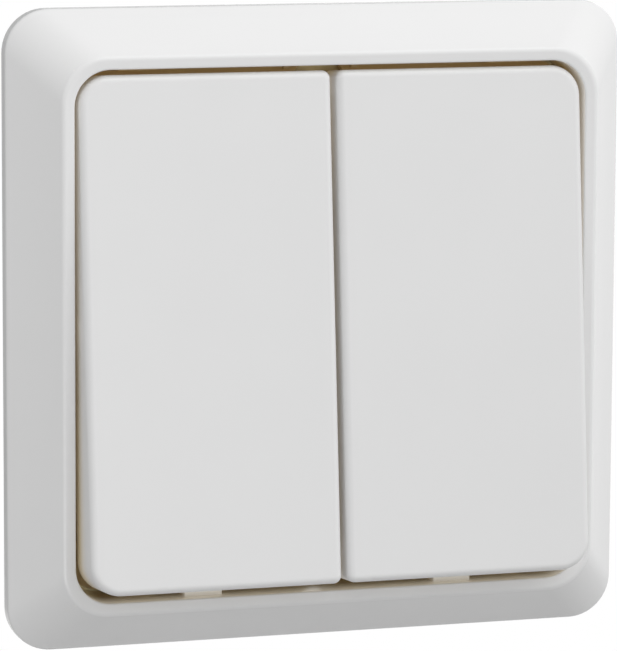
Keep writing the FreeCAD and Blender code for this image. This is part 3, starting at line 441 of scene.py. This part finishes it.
def button_ring(side, inset, depth, lean=0.0, smallest=SMALLEST):
    """The button's outline drawn in by the inset, at a depth in front of the hinge axis."""
    x = mirrored((BUTTON_GAP / 2 + inset, BUTTON_GAP / 2 + BUTTON_WIDTH - inset), side)
    half = HALF_BUTTON - inset
    radii = [max(corner - inset, smallest) for corner in (INNER_CORNER, OUTER_CORNER)]
    return x, (BUTTON_RISE - half, BUTTON_RISE + half), depth, radii[::side], lean


def button_shell(side, name):
    """The face and the skirt, closed inside and out."""
    shoulder = FACE_OFFSET - BUTTON_ROUND
    outside = [(0, skirt_middle, skirt_lean), (0, shoulder - HOLD, 0), (0, shoulder, 0)]
    for step in range(1, ROUND_STEPS + 1):
        angle = step / ROUND_STEPS * math.pi / 2
        inset = BUTTON_ROUND * (1 - math.cos(angle))
        outside.append((inset, shoulder + BUTTON_ROUND * math.sin(angle), 0))
    outside.append((BUTTON_ROUND + HOLD, FACE_OFFSET, 0))
    inside = [(BUTTON_WALL, FACE_OFFSET - FACE_WALL, 0), (BUTTON_WALL, skirt_middle, skirt_lean)]
    outer = [button_ring(side, *place) for place in outside]
    inner = [button_ring(side, *place, INSIDE_SMALLEST) for place in inside]

    shell = start_shell(name)
    for first, second in zip(inner + outer, inner[1:] + outer):
        add_band(shell, first, second)
    add_cap(shell, inner[0])
    add_cap(shell, outer[-1])
    finish_shell(shell)
    return shell


# %% Add the clips and the ribs
CLIP = (13.5 * MM, 18.5 * MM)
CLIP_LEG = (4.6 * MM, 5.9 * MM)
CLIP_END = 2.5 * MM
HOOK = (3.9 * MM, 5.8 * MM)
HOOK_DEPTHS = (1.6 * MM, 2.45 * MM)
RIBS = (7.4 * MM, 21.5 * MM)
HALF_RIB = 0.6 * MM
RIB_REACH = 3.5 * MM
RIB_END = -1.5 * MM
IN_FACE = -(FACE_OFFSET - FACE_WALL / 2)


def back_parts(side):
    """The clips with their hooks and the ribs of one button, rooted in its face."""
    parts = []
    for end in (-1, 1):
        x = mirrored(CLIP, side)
        parts.append(add_block("clip", x, (IN_FACE, CLIP_END), mirrored(CLIP_LEG, end), FINE_BEVEL))
        parts.append(add_block("hook", x, HOOK_DEPTHS, mirrored(HOOK, end), FINE_BEVEL))
    for place in RIBS:
        x = mirrored((place - HALF_RIB, place + HALF_RIB), side)
        parts.append(add_block("rib", x, (IN_FACE, RIB_END), (-RIB_REACH, RIB_REACH), FINE_BEVEL))
    return parts


# %% Model both buttons


def model_button(side, name):
    """One button, leaned as it rests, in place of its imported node."""
    shell = button_shell(side, f"button_{name}_white")
    combine(shell, back_parts(side), "UNION")
    shade(shell)
    shell.rotation_euler.x = -REST_TILT
    shell.location.y = -HINGE_DEPTH
    bpy.ops.object.transform_apply(location=True, rotation=True, scale=True)
    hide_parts(f"rocker_{name}")
    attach(shell, f"button_{name}")
    return shell


buttons = [model_button(side, name) for side, name in ((-1, "left"), (1, "right"))]

# %% [markdown]
# ## The springs
#
# A coil spring lies behind each plunger and gets shorter when its button is pressed, and a leaf
# spring bends with each release button. Each imported spring is hidden and a copy takes its place:
# a coil's copy is attached to the housing with a mesh of its own, and a leaf's copy has its place baked in.


def spring_copy(node):
    """A copy of a packed spring that takes its node's place."""
    spring = bpy.data.objects.new(f"{node}_wire", frame["nodes"][node].data.copy())
    bpy.context.scene.collection.objects.link(spring)
    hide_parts(node)
    return spring


def let_coil_shorten(spring):
    """Attach a coil to the housing and give it a mesh of its own."""
    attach(spring, "housing")
    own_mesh(spring)


def let_leaf_bend(spring):
    """Bake a leaf's place into its mesh."""
    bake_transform(spring)


springs = []
for joint in frame["joints"]:
    for row in joint.get("deforming_nodes", []):
        spring = spring_copy(row["node"])
        if row["mode"] == "scale_y":
            let_coil_shorten(spring)
        else:
            let_leaf_bend(spring)
        springs.append(spring)

# %% [markdown]
# ## Writing materials as sums
#
# A procedural material is mostly arithmetic on noise and on places, and a long chain of Math nodes
# is hard to read as node calls. So a small class wraps a node's output. Adding or multiplying two
# of them adds the Math node that does it, and any other node comes from one method, add.

# %% Sockets that can be added and multiplied


class Feed:
    """One output of a node in a material. Arithmetic on it adds Math nodes."""

    def __init__(self, finish, socket):
        self.finish = finish
        self.socket = socket

    def math(self, operation, *values, clamp=False):
        settings = {"operation": operation, "use_clamp": clamp}
        return self.finish.add("ShaderNodeMath", settings, dict(enumerate(values)))

    def __add__(self, other):
        return self.math("ADD", self, other)

    def __sub__(self, other):
        return self.math("SUBTRACT", self, other)

    def __rsub__(self, other):
        return self.math("SUBTRACT", other, self)

    def __mul__(self, other):
        return self.math("MULTIPLY", self, other)

    def __truediv__(self, other):
        return self.math("DIVIDE", self, other)

    __radd__ = __add__
    __rmul__ = __mul__

    def clamped(self):
        return self.math("ADD", self, 0.0, clamp=True)


# %% Materials that are wired by their sums


class Finish:
    """A material or world that is being wired."""

    def __init__(self, name, kind="materials"):
        self.data = getattr(bpy.data, kind).new(name)
        self.data.use_nodes = True
        self.tree = self.data.node_tree
        self.tree.nodes.clear()

    def add(self, kind, settings=None, values=None, output=None):
        """Add a node: its settings first, then the value or feed of each socket."""
        node = self.tree.nodes.new(kind)
        for name, setting in (settings or {}).items():
            setattr(node, name, setting)
        sockets = {socket.name: socket for socket in node.inputs if socket.enabled}
        sockets.update(enumerate(node.inputs))
        for name, value in (values or {}).items():
            if isinstance(value, Feed):
                self.tree.links.new(value.socket, sockets[name])
            else:
                sockets[name].default_value = value
        outputs = [socket for socket in node.outputs if socket.enabled and output in (None, socket.name)]
        return Feed(self, outputs[0]) if outputs else None

    def noise(self, place, size, detail=2.0):
        """Soft noise whose lumps are about this many metres across."""
        return self.add(
            "ShaderNodeTexNoise", None, {"Vector": place, "Scale": 1 / size, "Detail": detail}
        )

    def parts(self, place):
        """The three coordinates of a place."""
        first = self.add("ShaderNodeSeparateXYZ", None, {0: place})
        return [Feed(self, socket) for socket in first.socket.node.outputs]

    def along(self, place, direction):
        """How far a place lies along a direction."""
        return self.add("ShaderNodeVectorMath", {"operation": "DOT_PRODUCT"}, {0: place, 1: direction})

    def mix(self, share, first, second):
        """A blend of two colours."""
        return self.add("ShaderNodeMix", {"data_type": "RGBA"}, {"Factor": share, "A": first, "B": second})

    def bump(self, height, distance):
        """A normal that follows a height."""
        return self.add(
            "ShaderNodeBump", None, {"Strength": 1.0, "Distance": distance, "Height": height}
        )

    def surface(self, values):
        """Close a material with one shader, and give it back."""
        shader = self.add("ShaderNodeBsdfPrincipled", None, values)
        self.add("ShaderNodeOutputMaterial", None, {"Surface": shader})
        print(f"{self.data.name}: {len(self.tree.nodes)} nodes")
        return self.data


# %% Colours and fades


def colour(code):
    """A colour written as six hexadecimal digits, as a linear one with its alpha."""
    shares = [int(code[spot:spot + 2], 16) / 255 for spot in (0, 2, 4)]
    return (*[s / 12.92 if s <= 0.04045 else ((s + 0.055) / 1.055) ** 2.4 for s in shares], 1.0)


def dimmed(tone, share):
    """The same colour, darker below a share of 1 and paler above it."""
    return (*[part * share for part in tone[:3]], 1.0)


def fade(value, none, full):
    """0 where the value passes none, 1 where it passes full."""
    return ((value - none) / (full - none)).clamped()


# %% [markdown]
# ## White plastic
#
# The frame and the buttons are moulded from the same white plastic, polished on the frame and a
# touch softer on the buttons. Up close such a surface isn't a perfect mirror: it has a faint
# orange-peel ripple about a millimetre across, and its shine and colour vary slightly. One flat
# colour would look like paper. So a broad noise changes the colour and the shine, a fine one the
# shine alone, and a third lifts the ripple as a bump.

# %% Mix a plastic
BLACK = (0, 0, 0, 1)
CLOUD = 14 * MM
CLOUD_TONE = 0.015
CLOUD_SHINE = 0.04
GRAIN = 0.5 * MM
GRAIN_SHINE = 0.03
GRAIN_RIPPLE = 0.15


def moulded(name, tone, roughness, ripple=0.8 * MM, ripple_height=0.9e-6, painted_light=None):
    """A moulded plastic: colour and shine that vary a little, and a fine ripple.

    The last argument, if given, is a function from this finish and the place on the surface to the
    share and colour of a painted shade and the share and colour of a painted glow.
    """
    finish = Finish(name)
    place = finish.add("ShaderNodeTexCoord", output="Object")
    cloud = finish.noise(place, CLOUD)
    grain = finish.noise(place, GRAIN, detail=3.0)
    base = finish.mix(cloud, dimmed(tone, 1 - CLOUD_TONE), dimmed(tone, 1 + CLOUD_TONE))
    glow = BLACK
    # Painted light: a warm painted shade mixed into the colour, and a painted glow as emission.
    if painted_light:
        share, painted_shade_colour, painted_glow_share, light = painted_light(finish, place)
        base = finish.mix(share, base, painted_shade_colour)
        glow = finish.mix(painted_glow_share, BLACK, light)
    shine = roughness - CLOUD_SHINE / 2 + CLOUD_SHINE * cloud + GRAIN_SHINE * (grain - 0.5)
    height = finish.noise(place, ripple, detail=1.0) + grain * GRAIN_RIPPLE
    return finish.surface({
        "Base Color": base,
        "Roughness": shine,
        "Normal": finish.bump(height, ripple_height),
        "IOR": 1.5,
        "Emission Color": glow,
        "Emission Strength": 1.0,
    })


# %% [markdown]
# ## Painted light in the gaps
#
# Deep in the gaps, where light has bounced off the plates behind, the white looks warm. Thin white
# plastic also lets a little light through, so the walls of the opening glow faintly towards the lip,
# and the sides of the buttons in the slit and towards the top. The light that soaks through isn't
# traced here, since it would cost long renders for a few tenths of a millimetre. So light is painted:
# a warm painted shade in the base colour further in, and a faint painted glow as emission, brighter
# towards the top, where light falls from above. Both follow places on the piece, above all its depth
# in front of the wall or the axle, so they stay the same from every side. The colours of the glow are
# linear light.

# %% Paint shade and glow onto the walls of the gaps
# Colours of the painted warm shade, and of the painted glow that stands for light through the plastic
WALL_PAINTED_SHADE = colour("efdaae")
SKIRT_PAINTED_SHADE = colour("f0e6d0")
WALL_PAINTED_GLOW = (0.14, 0.118, 0.084, 1)
SKIRT_PAINTED_GLOW = (0.062, 0.053, 0.041, 1)
# The share of painted glow that the sides of the buttons get in the slit
SLIT_PAINTED_GLOW = 0.55


def depth_of(finish, place, lean=0.0, plane=0.0):
    """Depth in front of a plane that is leaned about X and lies this far in front of the origin."""
    outward = Vector((0, -math.cos(lean), math.sin(lean)))
    return finish.along(place, outward) - plane


def wall_painted_light(finish, place):
    """The walls of the opening: painted warm shade further in, and a painted glow close to the lip."""
    depth = depth_of(finish, place)
    x, _, z = finish.parts(place)
    reach = x.math("MAXIMUM", x.math("ABSOLUTE", x), z.math("ABSOLUTE", z))
    # Painted shade: the wall turns warmer the further in it lies, near the opening's edge.
    painted_shade_share = fade(depth, none=8.4 * MM, full=5.0 * MM)
    near_wall = fade(reach, none=HALF_OPENING + 1.2 * MM, full=HALF_OPENING + 0.4 * MM)
    # Painted glow: on the wall inside the opening, below the lip, strongest close to it.
    inside = fade(reach, none=HALF_OPENING + 0.15 * MM, full=HALF_OPENING + 0.02 * MM)
    below_lip = fade(depth, none=9.0 * MM, full=8.8 * MM)
    lip_glow_share = fade(depth, none=3.5 * MM, full=9.0 * MM)
    return painted_shade_share * painted_shade_share * near_wall, WALL_PAINTED_SHADE, lip_glow_share * lip_glow_share * inside * below_lip, WALL_PAINTED_GLOW


def skirt_painted_light(finish, place):
    """The sides of a button: painted warm shade behind the face, and a painted glow in the slit and higher up."""
    depth = depth_of(finish, place, REST_TILT, HINGE_DEPTH * math.cos(REST_TILT))
    x, _, z = finish.parts(place)
    # Painted shade: the sides turn warmer the further behind the face they lie.
    painted_shade_share = fade(depth, none=4.0 * MM, full=0.3 * MM)
    # Painted glow: behind the face, brighter towards the top, where light falls from above, and in the slit.
    behind_face = fade(depth, none=4.8 * MM, full=3.0 * MM)
    lit_from_above = fade(z, none=-5 * MM, full=30 * MM)
    slit_glow_share = SLIT_PAINTED_GLOW * fade(x.math("ABSOLUTE", x), none=2.5 * MM, full=1.5 * MM)
    return painted_shade_share * painted_shade_share, SKIRT_PAINTED_SHADE, behind_face * x.math("MAXIMUM", lit_from_above, slit_glow_share), SKIRT_PAINTED_GLOW


# %% Mix the plastics
paint = {
    # The frame and the buttons carry the painted shade and painted glow of the gaps.
    "frame_white": moulded("frame_white", colour("eeeeee"), 0.22, painted_light=wall_painted_light),
    "button_white": moulded("button_white", colour("ebebeb"), 0.34, ripple=0.6 * MM, painted_light=skirt_painted_light),
    "moulding_white": moulded("moulding_white", colour("f2d8a0"), 0.45),
    "body_grey": moulded("body_grey", colour("8d9194"), 0.5, ripple_height=3e-6),
    "plunger_black": moulded("plunger_black", colour("2a2a2c"), 0.4),
    "release_grey": moulded("release_grey", colour("d8d9d6"), 0.45),
}

# %% [markdown]
# ## Metals
#
# The ring and the screws are steel with yellow zinc plating, the springs are bright steel, and the
# contacts and the terminals are brass. Metal is seen almost only by what it reflects, so these
# finishes vary their roughness more than their colour: brushed streaks along the sheet, and dull
# and bright patches where the plating took unevenly.

# %% Mix the metals
STREAK = 0.35 * MM
STREAK_HEIGHT = 2e-6
STREAK_SHINE = 0.1
PATCH_SHINE = 0.18
DULL = 0.82


def metal(name, tone, roughness, stretch=(1, 1, 1), patch=4 * MM):
    """A metal with dull and bright patches and streaks, drawn out where the stretch is small."""
    finish = Finish(name)
    place = finish.add("ShaderNodeTexCoord", output="Object")
    stretched = finish.add("ShaderNodeMapping", None, {"Vector": place, "Scale": stretch})
    brushed = finish.noise(stretched, STREAK, detail=3.0)
    spangle = finish.noise(place, patch)
    shine = roughness + PATCH_SHINE * (spangle - 0.5) + STREAK_SHINE * (brushed - 0.5)
    return finish.surface({
        "Base Color": finish.mix(spangle, dimmed(tone, DULL), tone),
        "Roughness": shine,
        "Normal": finish.bump(brushed, STREAK_HEIGHT),
        "Metallic": 1.0,
    })


paint["zinc_steel"] = metal("zinc_steel", colour("c9b88c"), 0.36, stretch=(0.08, 1, 1))
paint["contact_brass"] = metal("contact_brass", colour("d8b46a"), 0.3)
paint["spring_steel"] = metal("spring_steel", colour("b9bcc0"), 0.25, patch=1.5 * MM)

# %% [markdown]
# ## Handing out the finishes
#
# Every imported piece names the material slot it was made for, so the finishes are handed out from
# the record. The modelled shells and the springs are given theirs one by one.

# %% Give each piece its finish
dressed = [(frame["nodes"][part["node"]], part["material_slot"]) for part in frame["record"]["subparts"]]
dressed += [(cover, "frame_white")]
dressed += [(button, "button_white") for button in buttons]
dressed += [(spring, "spring_steel") for spring in springs]
for thing, name in dressed:
    thing.data.materials.clear()
    thing.data.materials.append(paint[name])
print("pieces with a finish:", len(dressed))

# %% [markdown]
# ## The light tent
#
# The switch is shown on pure white. The world is white where the camera or a reflection sees it, and
# for all other rays it is a light tent: even all round, a little brighter above and below, with one
# large soft light high in front and one at the right.

# %% Light the tent
EVEN_LIGHT = 0.475
SOFT_LIGHTS = [
    {"name": "above", "direction": (0, 0, 1), "sharpness": 2, "strength": 0.25},
    {"name": "below", "direction": (0, 0, -1), "sharpness": 2, "strength": 1.5},
    {"name": "high in front", "direction": (0.3, -0.6, 1), "sharpness": 12, "strength": 1.35},
    {"name": "at the right", "direction": (1, -0.6, 0.5), "sharpness": 12, "strength": 1.45},
]
WHITE = (1, 1, 1, 1)


def seen_directly(finish):
    """1 where the camera, a reflection or glass looks, and 0 for light on its way."""
    kinds = [
        finish.add("ShaderNodeLightPath", output=kind)
        for kind in ("Is Camera Ray", "Is Glossy Ray", "Is Transmission Ray")
    ]
    return (kinds[0] + kinds[1] + kinds[2]).clamped()


world = Finish("tent", "worlds")
bpy.context.scene.world = world.data
way = world.add("ShaderNodeTexCoord", output="Generated")


def from_way(direction, sharpness):
    """Light that is strongest from one direction, and closer round it the higher its sharpness."""
    share = world.along(way, Vector(direction).normalized())
    return share.math("POWER", share.math("MAXIMUM", share, 0.0), sharpness)


level = EVEN_LIGHT
for light in SOFT_LIGHTS:
    level = level + light["strength"] * from_way(light["direction"], light["sharpness"])
    print("light from", light["name"], "up to", light["strength"])
grey = world.add("ShaderNodeCombineColor", None, {0: level, 1: level, 2: level})
tent = world.mix(seen_directly(world), grey, WHITE)
background = world.add("ShaderNodeBackground", None, {"Color": tent, "Strength": 1.0})
world.add("ShaderNodeOutputWorld", None, {"Surface": background})
print("tent:", len(world.tree.nodes), "nodes")

# %% [markdown]
# ## The floor
#
# A grey floor lies below the switch, out of the picture, and keeps its shadow. Where the camera or a
# reflection sees it, it is white paper.

# %% Lay the floor
FLOOR_DROP = 130 * MM
FLOOR_SIZE = 500 * MM
SHADED_PAPER = (0.35, 0.35, 0.35, 1)
SEEN_PAPER = (0.97, 0.97, 0.97, 1)

bpy.ops.object.select_all(action="DESELECT")
bpy.ops.mesh.primitive_plane_add(size=FLOOR_SIZE, location=(0, 0, -FLOOR_DROP))
floor = bpy.context.object
floor.name = "floor"
paper = Finish("floor_paper")
floor.data.materials.append(paper.surface({
    "Base Color": paper.mix(seen_directly(paper), SHADED_PAPER, SEEN_PAPER),
    "Roughness": 0.9,
    "Specular IOR Level": 0.0,
}))

# %% [markdown]
# ## The lamps
#
# One small softbox stands near, low at the left, and lifts that end of the lower slope. A strip
# light above draws a bright line along the tops of the buttons.

# %% Hang the lamps


def add_lamp(name, place, width, height, watts):
    """A flat lamp that looks at the middle of the switch."""
    bpy.ops.object.light_add(type="AREA", location=place)
    lamp = bpy.context.object
    lamp.name = name
    lamp.rotation_euler = (-place).to_track_quat("-Z", "Y").to_euler()
    lamp.data.shape = "RECTANGLE"
    lamp.data.size = width
    lamp.data.size_y = height
    lamp.data.energy = watts
    lamp.visible_camera = False
    print(name, "turned by", [round(math.degrees(turn), 1) for turn in lamp.rotation_euler])


add_lamp("softbox", Vector((-160, -200, -100)) * MM, 100 * MM, 100 * MM, watts=0.09)
add_lamp("strip_light", Vector((100, -160, 300)) * MM, 300 * MM, 40 * MM, watts=0.13)

# %% [markdown]
# ## The flags
#
# White plastic on white loses its outline, so two grey flags stand behind it, as in a studio, one at
# the left and one above. Only reflections show them, and they draw a thin grey line along those
# edges.

# %% Set the flags
FLAG_NEAR = 75 * MM
FLAG_FAR = 76 * MM
FLAG_DEPTHS = (8 * MM, 300 * MM)
FLAG_GREY = (0.18, 0.18, 0.18, 1)

felt = Finish("flag_felt")
felt_grey = felt.surface({"Base Color": FLAG_GREY, "Roughness": 1.0})
across = (-FLAG_FAR, FLAG_FAR)
flags = [
    add_block("flag_left", (-FLAG_FAR, -FLAG_NEAR), FLAG_DEPTHS, across),
    add_block("flag_above", across, FLAG_DEPTHS, (FLAG_NEAR, FLAG_FAR)),
]
for flag in flags:
    flag.data.materials.append(felt_grey)
    for ray in ("camera", "diffuse", "transmission", "shadow"):
        setattr(flag, f"visible_{ray}", False)

bpy.context.scene.view_settings.view_transform = "Standard"
